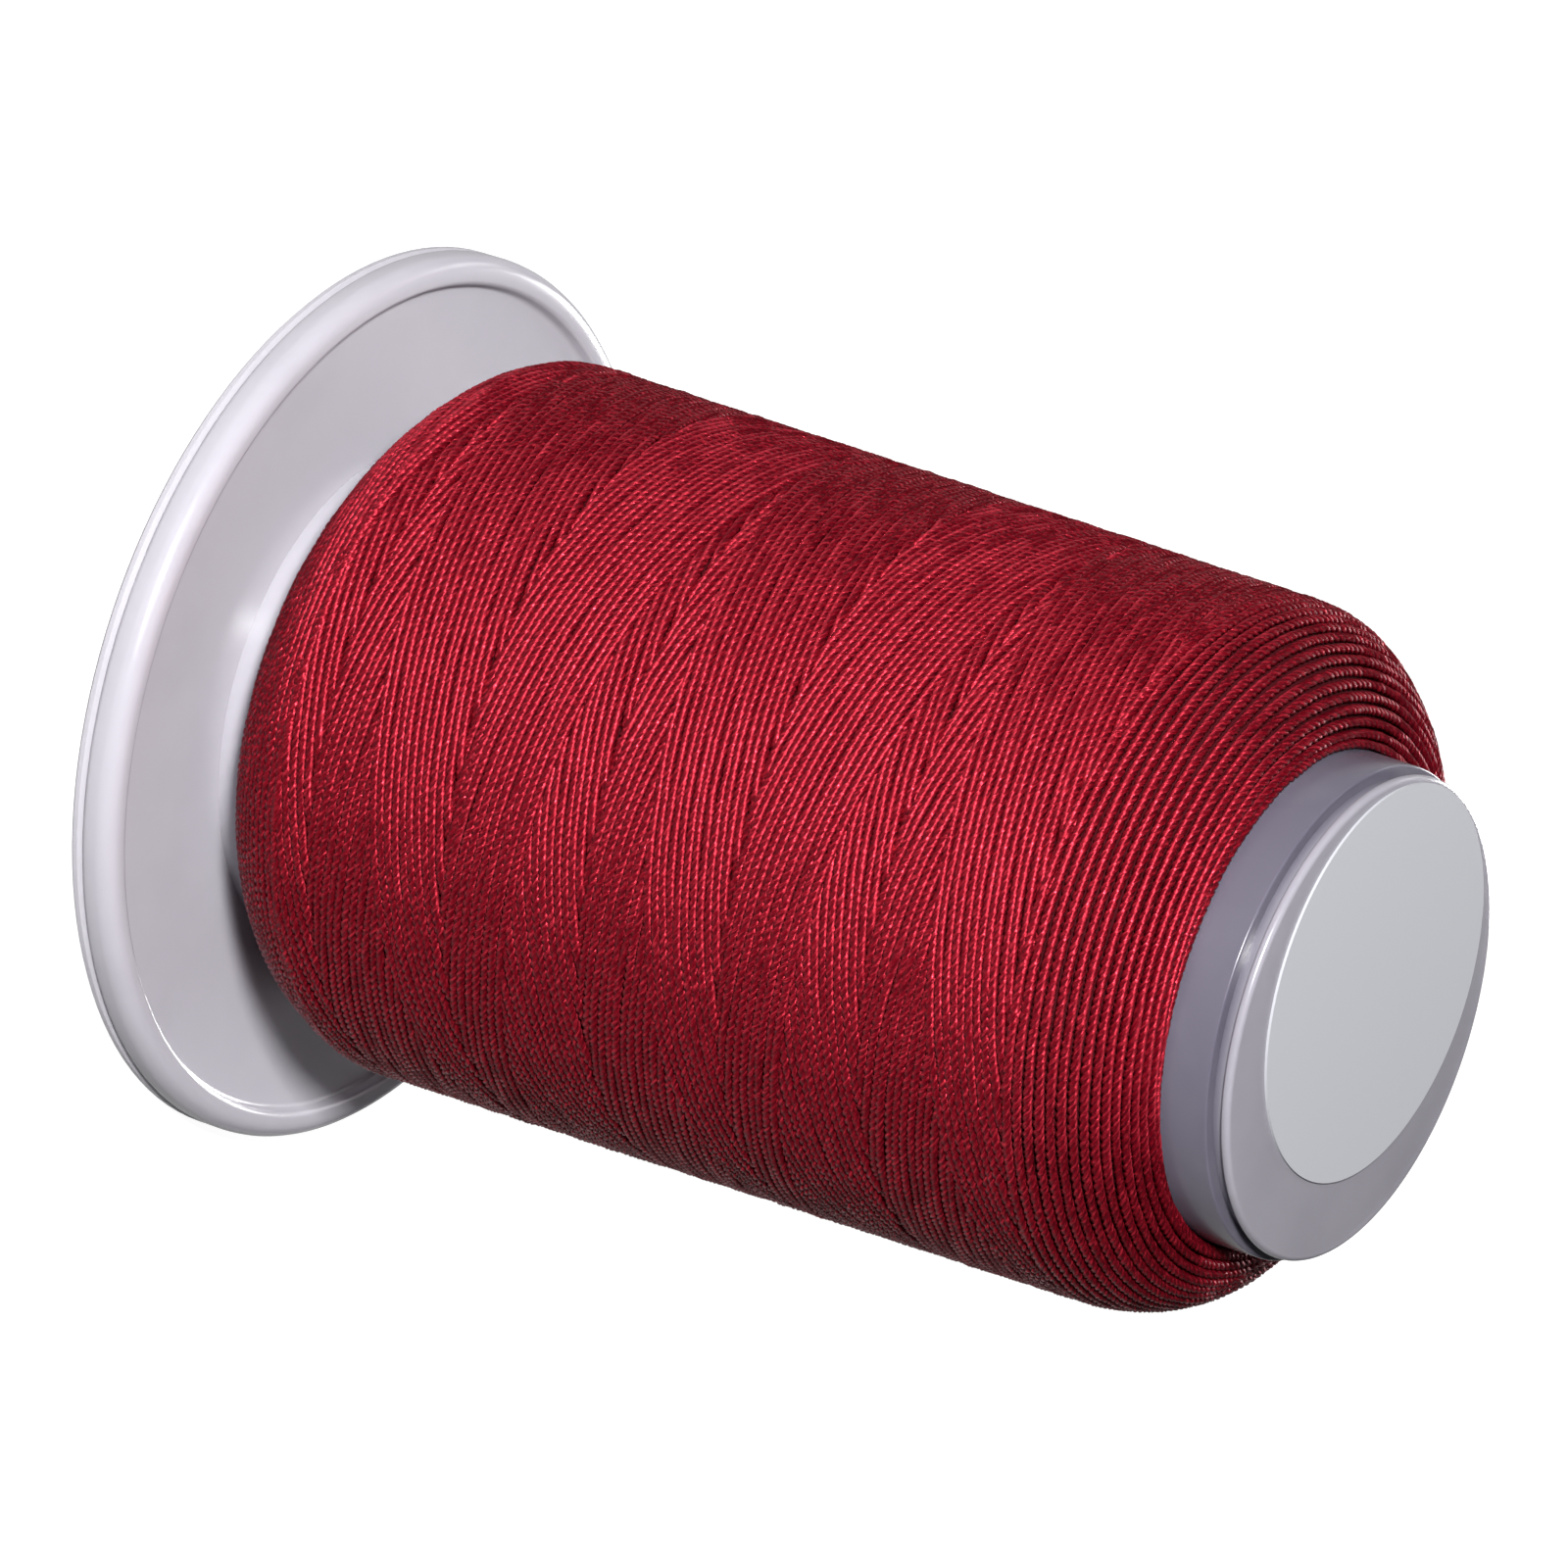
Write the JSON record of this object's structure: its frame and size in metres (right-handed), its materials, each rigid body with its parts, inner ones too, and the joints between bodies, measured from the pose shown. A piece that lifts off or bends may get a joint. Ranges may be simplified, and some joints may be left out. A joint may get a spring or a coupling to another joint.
{
  "type": "spool of thread",
  "caption": "Spool of twisted sewing thread wound on a tapered moulded barrel with a wide flange and a clip-on base plate.",
  "frame": {"origin": "centre of the base plate's underside, where the spool stands", "axes": "+Z along the spool's axis, from the wide flange to the neck; +X and +Y across, with the end label's centre on the -X side"},
  "size_m": [0.052, 0.052, 0.0676],
  "materials": {
    "moulded_plastic": "translucent gloss",
    "label_paper": "coated paper",
    "thread": "twisted thread with a soft sheen"
  },
  "bodies": {
    "spool": {"barrel": "moulded_plastic", "end_label": "label_paper", "thread_core": "thread", "thread_turns": "thread"},
    "base": {"snap_base": "moulded_plastic"}
  },
  "joints": [
    {"name": "base_snap", "type": "slide", "parent": "spool", "child": "base", "axis": [0, 0, -1], "range_m": [0, 0.002]}
  ]
}
